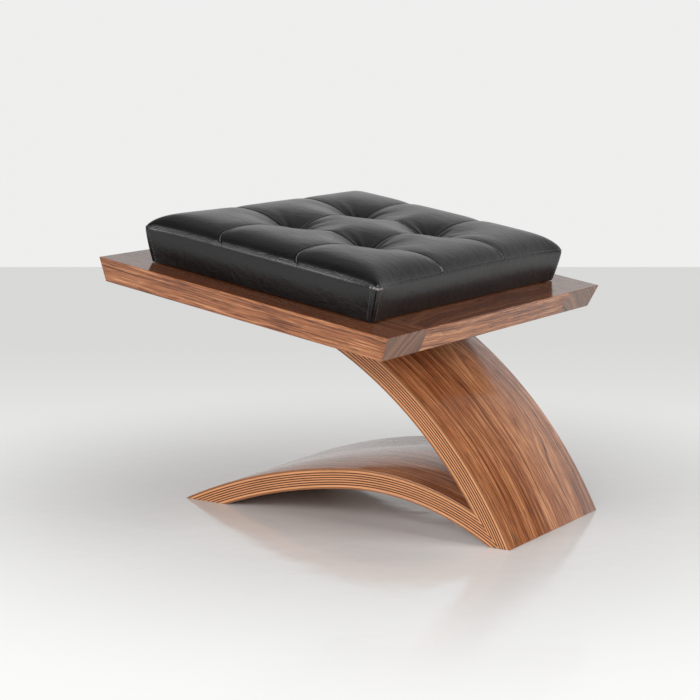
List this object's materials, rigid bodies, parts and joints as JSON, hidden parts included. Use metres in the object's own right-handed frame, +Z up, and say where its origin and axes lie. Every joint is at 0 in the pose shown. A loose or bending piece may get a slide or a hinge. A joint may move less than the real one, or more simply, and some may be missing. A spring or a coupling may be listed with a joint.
{
  "type": "kneeling bench",
  "caption": "Low kneeling bench: a forward-sloping walnut seat frame with a loose quilted leather cushion on a bent-ply upright mitred to an arched foot.",
  "frame": {"origin": "on the floor, midway along the bench's length and width", "axes": "+X forward, towards the knees and the heel of the base; +Y to the kneeler's left; +Z up"},
  "size_m": [0.4159, 0.4568, 0.3278],
  "materials": {
    "walnut": "oiled solid American walnut, satin",
    "walnut_veneer": "walnut face veneer, satin lacquer",
    "long_ply": "ply edge, long grain, tan",
    "cross_ply": "ply edge, end grain, dark brown",
    "birch_ply": "plain birch plywood",
    "beech": "fluted beech dowel",
    "screw_steel": "zinc-plated steel",
    "black_leather": "smooth semi-matte black hide",
    "foam": "polyurethane foam",
    "lining": "black non-woven lining",
    "twine": "waxed tufting twine",
    "toggle": "moulded disc",
    "hook_tape": "woven hook and loop tape"
  },
  "bodies": {
    "bench": {"right_side_rail": "walnut", "left_side_rail": "walnut", "front_end_rail": "walnut", "rear_end_rail": "walnut", "upright_front_veneer": "walnut_veneer", "upright_rear_veneer": "walnut_veneer", "base_top_veneer": "walnut_veneer", "base_bottom_veneer": "walnut_veneer", "upright_ply_01": "long_ply", "upright_ply_03": "long_ply", "upright_ply_05": "long_ply", "upright_ply_07": "long_ply", "upright_ply_09": "long_ply", "upright_ply_11": "long_ply", "upright_ply_13": "long_ply", "base_ply_01": "long_ply", "base_ply_03": "long_ply", "base_ply_05": "long_ply", "base_ply_07": "long_ply", "base_ply_09": "long_ply", "base_ply_11": "long_ply", "base_ply_13": "long_ply", "upright_ply_02": "cross_ply", "upright_ply_04": "cross_ply", "upright_ply_06": "cross_ply", "upright_ply_08": "cross_ply", "upright_ply_10": "cross_ply", "upright_ply_12": "cross_ply", "base_ply_02": "cross_ply", "base_ply_04": "cross_ply", "base_ply_06": "cross_ply", "base_ply_08": "cross_ply", "base_ply_10": "cross_ply", "base_ply_12": "cross_ply", "seat_panel": "birch_ply", "rail_dowels": "beech", "heel_spline": "birch_ply", "seat_screws": "screw_steel", "hook_strips": "hook_tape"},
    "cushion": {"cushion_board": "birch_ply", "cushion_foam": "foam", "cushion_lining": "lining", "tuft_twine": "twine", "tuft_toggles": "toggle", "loop_strips": "hook_tape", "top_panel_rear_right": "black_leather", "top_panel_rear_centre": "black_leather", "top_panel_rear_left": "black_leather", "top_panel_middle_right": "black_leather", "top_panel_middle_centre": "black_leather", "top_panel_middle_left": "black_leather", "top_panel_front_right": "black_leather", "top_panel_front_centre": "black_leather", "top_panel_front_left": "black_leather", "cushion_front_band": "black_leather", "cushion_rear_band": "black_leather", "cushion_left_band": "black_leather", "cushion_right_band": "black_leather"}
  },
  "joints": [
    {"name": "cushion_lift", "type": "slide", "parent": "bench", "child": "cushion", "axis": [0.1564, 0, 0.9877], "range_m": [0, 0.15]}
  ]
}
